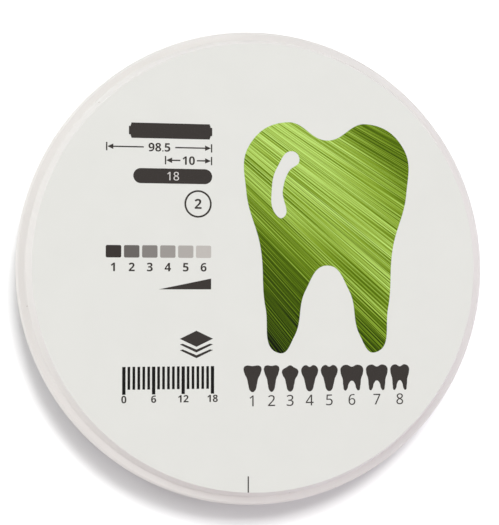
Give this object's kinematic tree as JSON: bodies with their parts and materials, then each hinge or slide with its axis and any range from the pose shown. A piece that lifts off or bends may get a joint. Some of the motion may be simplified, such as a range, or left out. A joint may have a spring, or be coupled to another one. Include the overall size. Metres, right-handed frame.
{
  "type": "dental milling disc",
  "caption": "Flat round blank of pre-sintered zirconia with a stepped clamping collar, printed on its front face, from which a dental mill cuts crowns.",
  "frame": {"origin": "centre of the flat back face, which the disc lies on", "axes": "+Z along the disc's axis, out of the printed front face; +Y towards the top of the print"},
  "size_m": [0.0984, 0.0984, 0.018],
  "materials": {
    "zirconia": "matte"
  },
  "bodies": {
    "root": {"milling_disc": "zirconia"}
  },
  "joints": []
}
